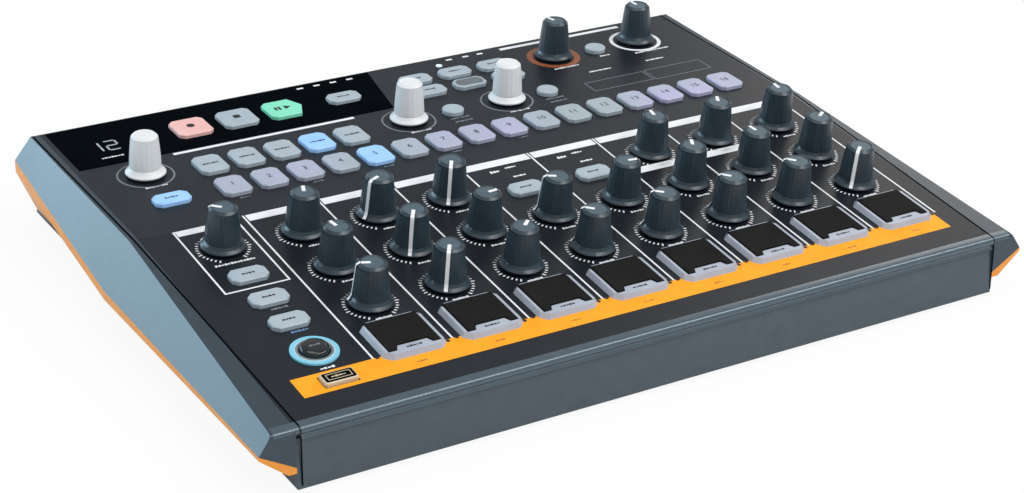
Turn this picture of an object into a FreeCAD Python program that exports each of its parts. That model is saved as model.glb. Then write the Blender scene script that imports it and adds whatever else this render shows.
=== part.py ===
import FreeCAD, Part
import math
import os

# A desktop drum machine: a low wedge case with a bent control panel, side cheeks,
# knobs, finger pads and keys. Millimetres, +Z up, the player sits on the -Y side.
# Panel places are given as (across, along): across from the left seam of the case
# to the right, along the sloping panel from its front edge or from its bend.

# Case
BODY_W = 288.6
CASE_FRONT_H = 21.9
FOOT_H = 2.0
FRONT_SLOPE = 5.5
FRONT_LEN = 124.6
REAR_SLOPE = 1.5
REAR_LEN = 97.6
FACE_LEAN = 1.8
REAR_LEAN = 9.0
WALL = 2.0
PANEL_T = 2.0
LIP_H = 3.6
LIP_GROOVE = 0.7
NOSE_R = 1.7
NOSE_OUT = 0.9
SEAT_GAP = 0.02

# Cheeks: how far the top edge stands out and how high the ridge runs, at three stations
EDGE_OUT_FRONT, EDGE_OUT_BEND, EDGE_OUT_REAR = 8.5, 3.2, 3.4
RIDGE_OUT_FRONT, RIDGE_OUT_BEND, RIDGE_OUT_REAR = 13.0, 13.7, 10.2
RIDGE_H_FRONT, RIDGE_H_BEND, RIDGE_H_REAR = 15.4, 16.8, 28.0
BAND_FRONT, BAND_BEND, BAND_REAR = 1.4, 3.6, 5.0
TRIM_FOOT_H = 6.0
TRIM_FOOT_OUT = 3.0
TRIM_SEAT_H = 8.0

# Channel grid
CHANNELS = 8
GRID_RIGHT_MARGIN = 8.2
CHANNEL_X0 = 0.14 * BODY_W
PITCH = (BODY_W - CHANNEL_X0 - GRID_RIGHT_MARGIN) / CHANNELS
COLUMN_IN = PITCH / 2
ROW_FRONT, ROW_MIDDLE, ROW_BACK = 54.2, 80.1, 106.0
SIDE_X = 0.0859 * BODY_W

# Knobs and pots
SKIRT_R = 8.0
SKIRT_H = 2.6
KNOB_GAP = 0.8
KNOB_H = 16.8
BODY_BASE_R = 6.5
BODY_TOP_R = 5.2
CAP_R = 4.3
DISH_RIM = 0.5
DISH_DEPTH = 0.3
CAP_CHAMFER_H = 0.9
CAVITY_GAP = 0.4
SHAFT_R = 3.0
SHAFT_TOP = 12.0
BORE_FIT = 0.04
BUSH_R = 3.6
BUSH_TOP = 2.4
BUSH_FIT = 0.08
BUSH_CLEAR = 0.3
POT_W = 9.6
POT_L = 11.0
POT_H = 6.5
POT_FLOOR = 1.2
SHAFT_END_GAP = 0.3
ENCODER_T = 47.0
ENCODER_X = (0.0787 * BODY_W, 0.4650 * BODY_W, 0.6213 * BODY_W)
ENCODER_NAMES = ("tempo_encoder", "swing_encoder", "pattern_encoder")
WHITE_SKIRT_R = 7.6
WHITE_TOP_R = 5.0
OUTPUT_T = 77.4
DRIVE_X = 0.7640 * BODY_W
VOLUME_X = 0.9078 * BODY_W
SEQUENCE_ALONG = 107.5

# Pads
PAD_FRAME_W = 23.8
PAD_FRAME_L = 22.6
PAD_FRAME_FRONT = 20.0
PAD_FRAME_H = 1.9
PAD_CORNER = 2.6
PAD_W = 19.4
PAD_L = 18.2
TAB_W = 14.0
TAB_L = 2.5
TAB_SIDE = 1.4
PAD_FRONT_RIM = 2.9
PAD_PROUD = 0.5
PAD_TRAVEL = 1.0
PLUNGER_INSET = 3.0
FRAME_DRAFT = 0.9

# Keys and buttons
KEY_W = 11.2
KEY_L = 14.2
KEY_H = 1.6
KEY_CORNER = 1.9
KEY_TRAVEL = 0.8
KEY_CLEAR = 0.3
STEPS = 16
STEP_X0 = 0.1635 * BODY_W
STEP_PITCH = 0.05156 * BODY_W
STEP_T = 23.1
FUNCTION_KEYS = 5
FUNCTION_T = 43.2
TRANSPORT_W = 14.4
TRANSPORT_L = 14.4
TRANSPORT_T = 76.8
RECORD_X, STOP_X, PLAY_X = 0.1875 * BODY_W, 0.2554 * BODY_W, 0.3243 * BODY_W
PLAY_POINT = 3.2
PILL_W = 14.0
PILL_L = 8.2
PILL_CORNER = 2.0
SONG_X = 0.4175 * BODY_W
MENU_X0 = 0.5371 * BODY_W
MENU_PITCH = 0.06445 * BODY_W
MENU_COLUMNS = 3
MENU_BACK_T, MENU_FRONT_T = 79.8, 67.5
SHIFT_T = 22.9
CHANNEL_PILL_ALONG = 100.6
PILL_CHANNELS = (4, 5)
LOOP_ALONG, MUTE_ALONG, SOLO_ALONG = 86.6, 70.4, 54.8
ROUND_R = 4.4
ROUND_H = 1.7
ROUND_PLACES = ((0.5340 * BODY_W, 46.8), (0.6878 * BODY_W, 46.8), (0.8340 * BODY_W, 76.2))

# Accent button with its light ring, and the small bank button in the front strip
ACCENT_ALONG = 35.7
RING_R = 8.35
RING_BORE_R = 6.5
RING_H = 0.7
ACCENT_R = 5.0
ACCENT_H = 1.8
BANK_ALONG = 18.2
BANK_W = 12.0
BANK_L = 6.0
BANK_H = 1.6

# Display
DISPLAY_X, DISPLAY_T = 0.0884 * BODY_W, 77.0
DISPLAY_W, DISPLAY_L = 25.0, 13.0
DISPLAY_BODY_W, DISPLAY_BODY_L = 30.0, 16.4
DISPLAY_CLEAR = 0.15
LENS_T = 1.6

# Boards
BOARD_T = 1.6
BOARD_DEPTH = 9.6
BOARD_MARGIN_X = 11.5
BOARD_MARGIN_END = 7.0
BOARD_GAP = 0.3
PEG_R = 2.0
MAIN_BOARD_H = 3.5
MAIN_BOARD_W = BODY_W - 2 * 18.7
MAIN_BOARD_L = 62.0
BOSS_INSET = 30.0
BOSS_END_INSET = 6.0

# Posts, screws and feet
POST_R = 3.0
POST_INSET = 5.4
SCREW_R = 1.5
SCREW_FIT = 0.1
SCREW_HEAD_R = 2.8
SCREW_HEAD_H = 1.2
SCREW_DEPTH = 9.0
POST_ALONG = (34.0, 118.0, 205.0)
FOOT_R = 7.0
FOOT_INSET_X = 22.0
FOOT_INSET_Y = 20.0

# Rear sockets, from the player's left: places across the case
REAR_H = 17.0
JACK_X = tuple(share * BODY_W for share in (0.139, 0.216, 0.292, 0.369, 0.445))
JACK_R = 3.2
JACK_NUT_R = 5.6
JACK_NUT_T = 2.4
JACK_BUSH_R = 4.4
JACK_BODY_W = 15.0
JACK_BODY_H = 11.0
JACK_BODY_L = 20.0
JACK_OUT = 5.0
MINI_X = (0.5115 * BODY_W, 0.5567 * BODY_W)
MINI_R = 1.8
MINI_BUSH_R = 2.9
MINI_BODY_W = 9.0
MINI_BODY_L = 13.0
MINI_OUT = 0.6
DIN_X = (0.6298 * BODY_W, 0.7098 * BODY_W)
DIN_R = 8.2
DIN_BORE_R = 6.9
DIN_BODY_W = 19.0
DIN_BODY_H = 15.0
DIN_BODY_L = 14.0
DIN_OUT = 0.4
DIN_WALL = 4.0
USB_X = 0.7864 * BODY_W
USB_W, USB_H, USB_L = 12.0, 11.0, 16.0
USB_BORE_W, USB_BORE_H = 8.6, 7.8
USB_OUT = 0.4
DC_X = 0.9186 * BODY_W
DC_W, DC_H, DC_L = 11.0, 12.0, 14.0
DC_BORE_R = 2.85
DC_OUT = 0.4
POWER_X = 0.856 * BODY_W
POWER_R = 5.0
POWER_OUT = 3.0
POWER_TRAVEL = 1.5
POWER_SWITCH_W = 12.0
SOCKET_FIT = 0.2
SOCKET_WALL = 1.0
SOCKET_SEAT = 0.05


def slope(degrees):
    return math.cos(math.radians(degrees)), math.sin(math.radians(degrees))


FRONT_COS, FRONT_SIN = slope(FRONT_SLOPE)
REAR_COS, REAR_SIN = slope(REAR_SLOPE)
BEND_Y = FRONT_LEN * FRONT_COS
TOP_REAR_Y = BEND_Y + REAR_LEN * REAR_COS
BASE_REAR_Y = TOP_REAR_Y + REAR_LEAN
FRONT_TOP_Z = FOOT_H + CASE_FRONT_H
BEND_Z = FRONT_TOP_Z + FRONT_LEN * FRONT_SIN
REAR_TOP_Z = BEND_Z + REAR_LEN * REAR_SIN
REAR_TILT = math.degrees(math.atan2(REAR_LEAN, REAR_TOP_Z - FOOT_H))
REAR_NORMAL_Y = math.cos(math.radians(REAR_TILT))
REAR_NORMAL_Z = math.sin(math.radians(REAR_TILT))


def rear_y(z):
    return TOP_REAR_Y + REAR_LEAN * (REAR_TOP_Z - z) / (REAR_TOP_Z - FOOT_H)


SOCKET_Z = FOOT_H + REAR_H
Y_MIN = -max(FACE_LEAN, NOSE_OUT)
Y_MAX = max(BASE_REAR_Y, rear_y(SOCKET_Z) + JACK_BUSH_R * REAR_NORMAL_Z + JACK_OUT * REAR_NORMAL_Y)
SHIFT = FreeCAD.Vector(-BODY_W / 2, -(Y_MIN + Y_MAX) / 2, 0)
SIDE_LEFT, SIDE_RIGHT = 0.0, BODY_W


class Panel:
    """One flat stretch of the bent control panel."""

    def __init__(self, origin_y, origin_z, degrees):
        self.base = FreeCAD.Vector(0, origin_y, origin_z)
        self.turn = FreeCAD.Rotation(FreeCAD.Vector(1, 0, 0), degrees)

    def put(self, shape, across, along):
        at = self.base + self.turn.multVec(FreeCAD.Vector(across, along, 0))
        placed = shape.copy()
        placed.Placement = FreeCAD.Placement(at, self.turn)
        return placed


FRONT = Panel(0, FRONT_TOP_Z, FRONT_SLOPE)
REAR = Panel(BEND_Y, BEND_Z, REAR_SLOPE)


def rod(radius, low, high):
    return Part.makeCylinder(radius, high - low, FreeCAD.Vector(0, 0, low))


def block(width, length, low, high):
    return Part.makeBox(width, length, high - low, FreeCAD.Vector(-width / 2, -length / 2, low))


def prism(points, low, high):
    wire = Part.makePolygon([FreeCAD.Vector(x, y, low) for x, y in points + points[:1]])
    return Part.Face(wire).extrude(FreeCAD.Vector(0, 0, high - low))


def cut_corner_outline(width, length, corner):
    w, l, c = width / 2, length / 2, corner
    return [(-w + c, -l), (w - c, -l), (w, -l + c), (w, l - c),
            (w - c, l), (-w + c, l), (-w, l - c), (-w, -l + c)]


def key_outline(width, length, corner):
    return cut_corner_outline(width, length, corner)


def play_outline():
    w, l = TRANSPORT_W / 2, TRANSPORT_L / 2
    c = KEY_CORNER
    return [(-w + c, -l), (w - PLAY_POINT + 1, -l), (w + 1, 0), (w - PLAY_POINT + 1, l),
            (-w + c, l), (-w, l - c), (-w, -l + c)]


def side_profile(points, x_low, x_high):
    """Extrude an outline of (y, z) corners across the case; a third value rounds that corner."""
    count = len(points)
    corners = [FreeCAD.Vector(x_low, p[0], p[1]) for p in points]
    edges, starts, ends = [], [], []
    for i, p in enumerate(points):
        corner = corners[i]
        before = (corners[i - 1] - corner).normalize()
        after = (corners[(i + 1) % count] - corner).normalize()
        if len(p) < 3:
            starts.append(corner)
            ends.append(corner)
            continue
        half = before.getAngle(after) / 2
        run = p[2] / math.tan(half)
        start, end = corner + before * run, corner + after * run
        inward = (before + after).normalize()
        middle = corner + inward * (p[2] / math.sin(half) - p[2])
        edges.append(Part.Arc(start, middle, end).toShape())
        starts.append(start)
        ends.append(end)
    for i in range(count):
        edges.append(Part.makeLine(ends[i], starts[(i + 1) % count]))
    wire = Part.Wire(Part.__sortEdges__(edges))
    return Part.Face(wire).extrude(FreeCAD.Vector(x_high - x_low, 0, 0))


def offset_outline(points, grow):
    """Grow or shrink an outline about its centre by a distance on each side."""
    width = max(x for x, y in points) - min(x for x, y in points)
    length = max(y for x, y in points) - min(y for x, y in points)
    sx, sy = 1 + 2 * grow / width, 1 + 2 * grow / length
    return [(x * sx, y * sy) for x, y in points]


# Every control: name of its node, panel, place, outline or radius, top height
STEM_LOW = -BOARD_DEPTH + KEY_TRAVEL + BOARD_GAP


def key_table():
    keys = []
    square = key_outline(KEY_W, KEY_L, KEY_CORNER)
    pill = key_outline(PILL_W, PILL_L, PILL_CORNER)
    big = key_outline(TRANSPORT_W, TRANSPORT_L, KEY_CORNER)
    for i in range(STEPS):
        keys.append(("step_keys", REAR, STEP_X0 + i * STEP_PITCH, STEP_T, square))
    for i in range(FUNCTION_KEYS):
        keys.append(("function_keys", REAR, STEP_X0 + i * STEP_PITCH, FUNCTION_T, square))
    keys.append(("record_key", REAR, RECORD_X, TRANSPORT_T, big))
    keys.append(("stop_key", REAR, STOP_X, TRANSPORT_T, big))
    keys.append(("play_key", REAR, PLAY_X, TRANSPORT_T, play_outline()))
    keys.append(("menu_keys", REAR, SONG_X, TRANSPORT_T, pill))
    keys.append(("menu_keys", REAR, ENCODER_X[0], SHIFT_T, pill))
    for i in range(MENU_COLUMNS):
        for along in (MENU_BACK_T, MENU_FRONT_T):
            keys.append(("menu_keys", REAR, MENU_X0 + i * MENU_PITCH, along, pill))
    for along in (LOOP_ALONG, MUTE_ALONG, SOLO_ALONG):
        keys.append(("channel_keys", FRONT, SIDE_X, along, pill))
    for channel in PILL_CHANNELS:
        keys.append(("channel_keys", FRONT, column_x(channel), CHANNEL_PILL_ALONG, pill))
    bank = key_outline(BANK_W, BANK_L, 0.4)
    keys.append(("bank_key", FRONT, SIDE_X, BANK_ALONG, bank))
    return keys


def column_x(channel):
    return CHANNEL_X0 + (channel - 1) * PITCH + COLUMN_IN


def knob_table():
    knobs = [("sequence_knob", FRONT, SIDE_X, SEQUENCE_ALONG, "black")]
    rows = (("front", ROW_FRONT), ("middle", ROW_MIDDLE), ("back", ROW_BACK))
    for channel in range(1, CHANNELS + 1):
        for row, along in rows:
            if row == "back" and channel in PILL_CHANNELS:
                continue
            name = "channel_%d_%s_knob" % (channel, row)
            knobs.append((name, FRONT, column_x(channel), along, "black"))
    knobs.append(("drive_knob", REAR, DRIVE_X, OUTPUT_T, "black"))
    knobs.append(("volume_knob", REAR, VOLUME_X, OUTPUT_T, "black"))
    for name, across in zip(ENCODER_NAMES, ENCODER_X):
        knobs.append((name, REAR, across, ENCODER_T, "white"))
    return knobs


def knob_cap(style):
    skirt = SKIRT_R if style == "black" else WHITE_SKIRT_R
    top = BODY_TOP_R if style == "black" else WHITE_TOP_R
    cap = CAP_R if style == "black" else WHITE_TOP_R - 0.9
    base = BODY_BASE_R if style == "black" else WHITE_TOP_R + 0.9
    profile = [(0, KNOB_GAP), (skirt - 0.5, KNOB_GAP), (skirt, KNOB_GAP + 0.5), (skirt, SKIRT_H - 0.9),
               (skirt - 0.9, SKIRT_H), (base, SKIRT_H + 1.1), (top, KNOB_H - CAP_CHAMFER_H),
               (cap, KNOB_H), (cap - DISH_RIM, KNOB_H - DISH_DEPTH), (0, KNOB_H - DISH_DEPTH)]
    wire = Part.makePolygon([FreeCAD.Vector(r, 0, h) for r, h in profile + profile[:1]])
    solid = Part.Face(wire).revolve(FreeCAD.Vector(0, 0, 0), FreeCAD.Vector(0, 0, 1), 360)
    solid = solid.cut(rod(BUSH_R + CAVITY_GAP, 0, BUSH_TOP + CAVITY_GAP))
    return solid.cut(rod(SHAFT_R + BORE_FIT, 0, SHAFT_TOP))


def knob_shaft():
    return rod(SHAFT_R, -BOARD_DEPTH + POT_FLOOR + SHAFT_END_GAP, SHAFT_TOP)


def pot_body():
    body = block(POT_W, POT_L, -BOARD_DEPTH, -BOARD_DEPTH + POT_H)
    body = body.fuse(rod(BUSH_R, -BOARD_DEPTH + POT_H, BUSH_TOP))
    return body.cut(rod(SHAFT_R + BUSH_FIT, -BOARD_DEPTH + POT_FLOOR, BUSH_TOP))


def key_cap(outline, height):
    cap = prism(outline, -PANEL_T - 1.0, height)
    top = [e for e in cap.Edges if abs(e.BoundBox.ZMin - height) < 1e-6 and e.BoundBox.ZLength < 1e-6]
    cap = cap.makeChamfer(0.35, top)
    return cap.fuse(rod(1.6, STEM_LOW, -PANEL_T - 1.0))


def round_button(radius, height):
    cap = rod(radius, -PANEL_T - 1.0, height)
    top = [e for e in cap.Edges if abs(e.BoundBox.ZMin - height) < 1e-6 and e.BoundBox.ZLength < 1e-6]
    cap = cap.makeFillet(min(0.6, radius / 4), top)
    return cap.fuse(rod(1.6, STEM_LOW, -PANEL_T - 1.0))


def pad_centre_along():
    return PAD_FRAME_FRONT + PAD_FRONT_RIM + PAD_L / 2


def pad_frame():
    low = cut_corner_outline(PAD_FRAME_W, PAD_FRAME_L, PAD_CORNER)
    high = offset_outline(low, -FRAME_DRAFT)
    wires = [Part.makePolygon([FreeCAD.Vector(x, y, z) for x, y in line + line[:1]])
             for line, z in ((low, SEAT_GAP), (high, PAD_FRAME_H))]
    frame = Part.makeLoft(wires, True, True)
    inset = PAD_FRONT_RIM + PAD_L / 2 - PAD_FRAME_L / 2
    hole = block(PAD_W + 2 * KEY_CLEAR, PAD_L + 2 * KEY_CLEAR, -1, PAD_FRAME_H + 1)
    hole.translate(FreeCAD.Vector(0, inset, 0))
    tab = label_tab(0, SEAT_GAP, PAD_FRAME_H)
    tab.translate(FreeCAD.Vector(0, inset, 0))
    return frame.cut(hole).fuse(tab).removeSplitter()


def label_tab(clearance, low, high):
    """The frame's label tab, which reaches into the front of the pad, or the notch that clears it."""
    front = -PAD_L / 2 - KEY_CLEAR - 0.5
    wide, long = TAB_W / 2 + clearance, -PAD_L / 2 + TAB_L - KEY_CLEAR + clearance
    return prism([(-wide, front), (wide, front), (wide - TAB_SIDE, long), (-wide + TAB_SIDE, long)], low, high)


def pad_rubber():
    top = PAD_FRAME_H + PAD_PROUD
    pad = block(PAD_W, PAD_L, -PANEL_T - 1.0, top)
    rim = [e for e in pad.Edges if abs(e.BoundBox.ZMin - top) < 1e-6 and e.BoundBox.ZLength < 1e-6]
    pad = pad.makeFillet(0.5, rim)
    pad = pad.cut(label_tab(KEY_CLEAR, -PANEL_T, top + 1))
    plunger = block(PAD_W - 2 * PLUNGER_INSET, PAD_L - 2 * PLUNGER_INSET, -BOARD_DEPTH + PAD_TRAVEL + BOARD_GAP, -PANEL_T - 1.0)
    return pad.fuse(plunger)


def add(nodes, name, shape):
    nodes.setdefault(name, []).append(shape)


def make_controls(nodes, cuts):
    """Build all knobs, keys and pads, and collect the holes they need in the panel."""
    for name, panel, across, along, style in knob_table():
        add(nodes, name, panel.put(knob_cap(style), across, along))
        add(nodes, name, panel.put(knob_shaft(), across, along))
        add(nodes, "pot_bodies", panel.put(pot_body(), across, along))
        cuts.append(panel.put(rod(BUSH_R + BUSH_CLEAR, -PANEL_T - 4, 4), across, along))
    for name, panel, across, along, outline in key_table():
        height = BANK_H if name == "bank_key" else KEY_H
        add(nodes, name, panel.put(key_cap(outline, height), across, along))
        hole = prism(offset_outline(outline, KEY_CLEAR), -PANEL_T - 4, 4)
        cuts.append(panel.put(hole, across, along))
    for across, along in ROUND_PLACES:
        add(nodes, "menu_keys", REAR.put(round_button(ROUND_R, ROUND_H), across, along))
        cuts.append(REAR.put(rod(ROUND_R + KEY_CLEAR, -PANEL_T - 4, 4), across, along))
    for channel in range(1, CHANNELS + 1):
        across = column_x(channel)
        along = PAD_FRAME_FRONT + PAD_FRAME_L / 2
        add(nodes, "pad_frames", FRONT.put(pad_frame(), across, along))
        add(nodes, "pad_%d" % channel, FRONT.put(pad_rubber(), across, pad_centre_along()))
        hole = block(PAD_W + 2 * KEY_CLEAR, PAD_L + 2 * KEY_CLEAR, -PANEL_T - 4, 4)
        cuts.append(FRONT.put(hole, across, pad_centre_along()))
    ring = rod(RING_R, SEAT_GAP, RING_H).cut(rod(RING_BORE_R, -1, RING_H + 1))
    add(nodes, "accent_ring", FRONT.put(ring, SIDE_X, ACCENT_ALONG))
    add(nodes, "accent_key", FRONT.put(round_button(ACCENT_R, ACCENT_H), SIDE_X, ACCENT_ALONG))
    cuts.append(FRONT.put(rod(ACCENT_R + KEY_CLEAR, -PANEL_T - 4, 4), SIDE_X, ACCENT_ALONG))


def make_display(nodes, cuts):
    lens = block(DISPLAY_W, DISPLAY_L, -LENS_T, 0)
    body = block(DISPLAY_BODY_W, DISPLAY_BODY_L, -BOARD_DEPTH, -PANEL_T - SEAT_GAP)
    riser = block(DISPLAY_W - 1, DISPLAY_L - 1, -PANEL_T - SEAT_GAP, -LENS_T)
    add(nodes, "display_module", REAR.put(lens, DISPLAY_X, DISPLAY_T))
    add(nodes, "display_module", REAR.put(body.fuse(riser), DISPLAY_X, DISPLAY_T))
    hole = block(DISPLAY_W + 2 * DISPLAY_CLEAR, DISPLAY_L + 2 * DISPLAY_CLEAR, -PANEL_T - 4, 4)
    cuts.append(REAR.put(hole, DISPLAY_X, DISPLAY_T))


def panel_z(y):
    if y < BEND_Y:
        return FRONT_TOP_Z + y * FRONT_SIN / FRONT_COS
    return BEND_Z + (y - BEND_Y) * REAR_SIN / REAR_COS


def make_top_panel(nodes, cuts):
    lip_z = FRONT_TOP_Z - LIP_H
    under = PANEL_T
    points = [(-NOSE_OUT, lip_z, NOSE_R), (-NOSE_OUT, panel_z(-NOSE_OUT), NOSE_R), (BEND_Y, BEND_Z),
              (TOP_REAR_Y, REAR_TOP_Z), (TOP_REAR_Y, REAR_TOP_Z - under),
              (BEND_Y, BEND_Z - under), (WALL + 1, panel_z(WALL + 1) - under), (WALL + 1, lip_z)]
    panel = side_profile(points, SIDE_LEFT, SIDE_RIGHT)
    for y in POST_ALONG:
        for across in (POST_INSET, BODY_W - POST_INSET):
            low = FOOT_H + WALL
            post = Part.makeCylinder(POST_R, panel_z(y) - under / 2 - low, FreeCAD.Vector(across, y, low))
            hole = Part.makeCylinder(SCREW_R + SCREW_FIT, SCREW_DEPTH + 1, FreeCAD.Vector(across, y, low))
            panel = panel.fuse(post).cut(hole)
    for board, across, along in peg_places():
        peg = rod(PEG_R, -BOARD_DEPTH, -PANEL_T / 2)
        panel = panel.fuse(board.put(peg, across, along))
    panel = panel.cut(cuts)
    add(nodes, "top_panel", panel.removeSplitter())


def board_spans():
    """Along-panel start and end of the two control boards."""
    return ((FRONT, BOARD_MARGIN_END, FRONT_LEN - 2), (REAR, 2, REAR_LEN - BOARD_MARGIN_END))


def peg_places():
    places = []
    for panel, start, end in board_spans():
        for across in (BOARD_MARGIN_X + 3, BODY_W - BOARD_MARGIN_X - 3):
            for along in (start + 3, end - 3):
                places.append((panel, across, along))
    return places


def make_boards(nodes):
    width = BODY_W - 2 * BOARD_MARGIN_X
    for panel, start, end in board_spans():
        board = block(width, end - start, -BOARD_DEPTH - BOARD_T, -BOARD_DEPTH)
        add(nodes, "control_board", panel.put(board, BODY_W / 2, (start + end) / 2))
    main_y = rear_y(SOCKET_Z) - WALL - MAIN_BOARD_L - 1
    low = FOOT_H + MAIN_BOARD_H
    main = Part.makeBox(MAIN_BOARD_W, MAIN_BOARD_L, BOARD_T,
                        FreeCAD.Vector((BODY_W - MAIN_BOARD_W) / 2, main_y, low))
    add(nodes, "main_board", main)
    return main_y


def make_base(nodes, main_y):
    groove_z = FRONT_TOP_Z - LIP_H - LIP_GROOVE
    under = PANEL_T + SEAT_GAP
    floor = FOOT_H
    outer = [(-FACE_LEAN, floor), (BASE_REAR_Y, floor), (TOP_REAR_Y, REAR_TOP_Z - under),
             (BEND_Y, BEND_Z - under), (WALL + 1.4, panel_z(WALL + 1.4) - under),
             (WALL + 1.4, groove_z), (0, groove_z)]
    tray = side_profile(outer, SIDE_LEFT, SIDE_RIGHT)
    inner = [(-FACE_LEAN + WALL, floor + WALL), (BASE_REAR_Y - WALL - 0.5, floor + WALL),
             (TOP_REAR_Y - WALL, REAR_TOP_Z), (BEND_Y, BEND_Z), (WALL + 1.4 + WALL, panel_z(WALL)),
             (WALL + 1.4 + WALL, groove_z - WALL), (WALL, groove_z - WALL)]
    tray = tray.cut(side_profile(inner, SIDE_LEFT + WALL, SIDE_RIGHT - WALL))
    for y in POST_ALONG:
        for across in (POST_INSET, BODY_W - POST_INSET):
            at = FreeCAD.Vector(across, y, floor)
            tray = tray.cut(Part.makeCylinder(SCREW_R + SCREW_FIT, WALL + 1, at))
            tray = tray.cut(Part.makeCylinder(SCREW_HEAD_R + SCREW_FIT, SCREW_HEAD_H, at))
            head = Part.makeCylinder(SCREW_HEAD_R, SCREW_HEAD_H, at)
            shank = Part.makeCylinder(SCREW_R, SCREW_DEPTH, at)
            add(nodes, "case_screws", head.fuse(shank))
    for across in (BOSS_INSET, BODY_W / 2, BODY_W - BOSS_INSET):
        for y in (main_y + BOSS_END_INSET, main_y + MAIN_BOARD_L - BOSS_END_INSET):
            boss = Part.makeCylinder(PEG_R + 1, MAIN_BOARD_H - WALL / 2,
                                     FreeCAD.Vector(across, y, floor + WALL / 2))
            tray = tray.fuse(boss)
    return tray


def rear_put(shape, across):
    """Place a part built along +Z so that it looks out of the sloping rear wall."""
    turn = FreeCAD.Rotation(FreeCAD.Vector(1, 0, 0), -90 + REAR_TILT)
    placed = shape.copy()
    placed.Placement = FreeCAD.Placement(FreeCAD.Vector(across, rear_y(SOCKET_Z), SOCKET_Z), turn)
    return placed


def make_sockets(nodes, tray):
    holes = []
    inner = -WALL - SOCKET_SEAT
    for across in JACK_X:
        body = block(JACK_BODY_W, JACK_BODY_H, inner - JACK_BODY_L, inner)
        body = body.fuse(rod(JACK_BUSH_R, inner, JACK_OUT)).fuse(rod(JACK_NUT_R, SEAT_GAP, JACK_NUT_T))
        body = body.cut(rod(JACK_R, inner - JACK_BODY_L + SOCKET_WALL, JACK_OUT))
        add(nodes, "rear_sockets", rear_put(body, across))
        holes.append(rear_put(rod(JACK_BUSH_R + SOCKET_FIT, inner - 3, 3), across))
    for across in MINI_X:
        body = block(MINI_BODY_W, MINI_BODY_W, inner - MINI_BODY_L, inner)
        body = body.fuse(rod(MINI_BUSH_R, inner, MINI_OUT))
        body = body.cut(rod(MINI_R, inner - MINI_BODY_L + SOCKET_WALL, MINI_OUT))
        add(nodes, "rear_sockets", rear_put(body, across))
        holes.append(rear_put(rod(MINI_BUSH_R + SOCKET_FIT, inner - 3, 3), across))
    for across in DIN_X:
        body = block(DIN_BODY_W, DIN_BODY_H, inner - DIN_BODY_L, inner).fuse(rod(DIN_R, inner, DIN_OUT))
        body = body.cut(rod(DIN_BORE_R, inner - DIN_BODY_L + DIN_WALL, DIN_OUT))
        add(nodes, "rear_sockets", rear_put(body, across))
        holes.append(rear_put(rod(DIN_R + SOCKET_FIT, inner - 3, 3), across))
    usb = block(USB_W, USB_H, inner - USB_L, USB_OUT)
    usb = usb.cut(block(USB_BORE_W, USB_BORE_H, inner - USB_L + SOCKET_WALL, USB_OUT))
    add(nodes, "rear_sockets", rear_put(usb, USB_X))
    holes.append(rear_put(block(USB_W + 2 * SOCKET_FIT, USB_H + 2 * SOCKET_FIT, inner - 3, 3), USB_X))
    dc = block(DC_W, DC_H, inner - DC_L, DC_OUT)
    dc = dc.cut(rod(DC_BORE_R, inner - DC_L + SOCKET_WALL, DC_OUT))
    add(nodes, "rear_sockets", rear_put(dc, DC_X))
    holes.append(rear_put(block(DC_W + 2 * SOCKET_FIT, DC_H + 2 * SOCKET_FIT, inner - 3, 3), DC_X))
    switch = block(POWER_SWITCH_W, POWER_SWITCH_W, inner - POWER_SWITCH_W, inner)
    switch = switch.cut(rod(POWER_R + KEY_CLEAR, inner - POWER_TRAVEL - 3, inner))
    add(nodes, "rear_sockets", rear_put(switch, POWER_X))
    button = rod(POWER_R, inner - 2, POWER_OUT)
    add(nodes, "power_key", rear_put(button, POWER_X))
    holes.append(rear_put(rod(POWER_R + KEY_CLEAR, inner - 3, 3), POWER_X))
    add(nodes, "base_tray", tray.cut(holes))


def cheek_station(side, y_of, edge_out, top_z, ridge_out, ridge_z, band):
    """The cheek's and trim's outlines at one station, from the seam outwards."""
    seam = SIDE_LEFT - SEAT_GAP if side < 0 else SIDE_RIGHT + SEAT_GAP
    trim_seat = FOOT_H + TRIM_SEAT_H
    trim_foot = FOOT_H + TRIM_FOOT_H
    cheek = [(0, trim_seat), (0, top_z), (edge_out, top_z), (ridge_out, ridge_z)]
    drop = SEAT_GAP
    trim = [(0, trim_seat - drop), (ridge_out, ridge_z - drop), (ridge_out, ridge_z - band),
            (TRIM_FOOT_OUT, trim_foot), (0, trim_foot)]

    def wire(points):
        ring = [FreeCAD.Vector(seam + side * out, y_of(z), z) for out, z in points]
        return Part.makePolygon(ring + ring[:1])

    return wire(cheek), wire(trim)


def cheek_front_y(z):
    return -NOSE_OUT - (FACE_LEAN - NOSE_OUT) * (FRONT_TOP_Z - z) / CASE_FRONT_H


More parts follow.
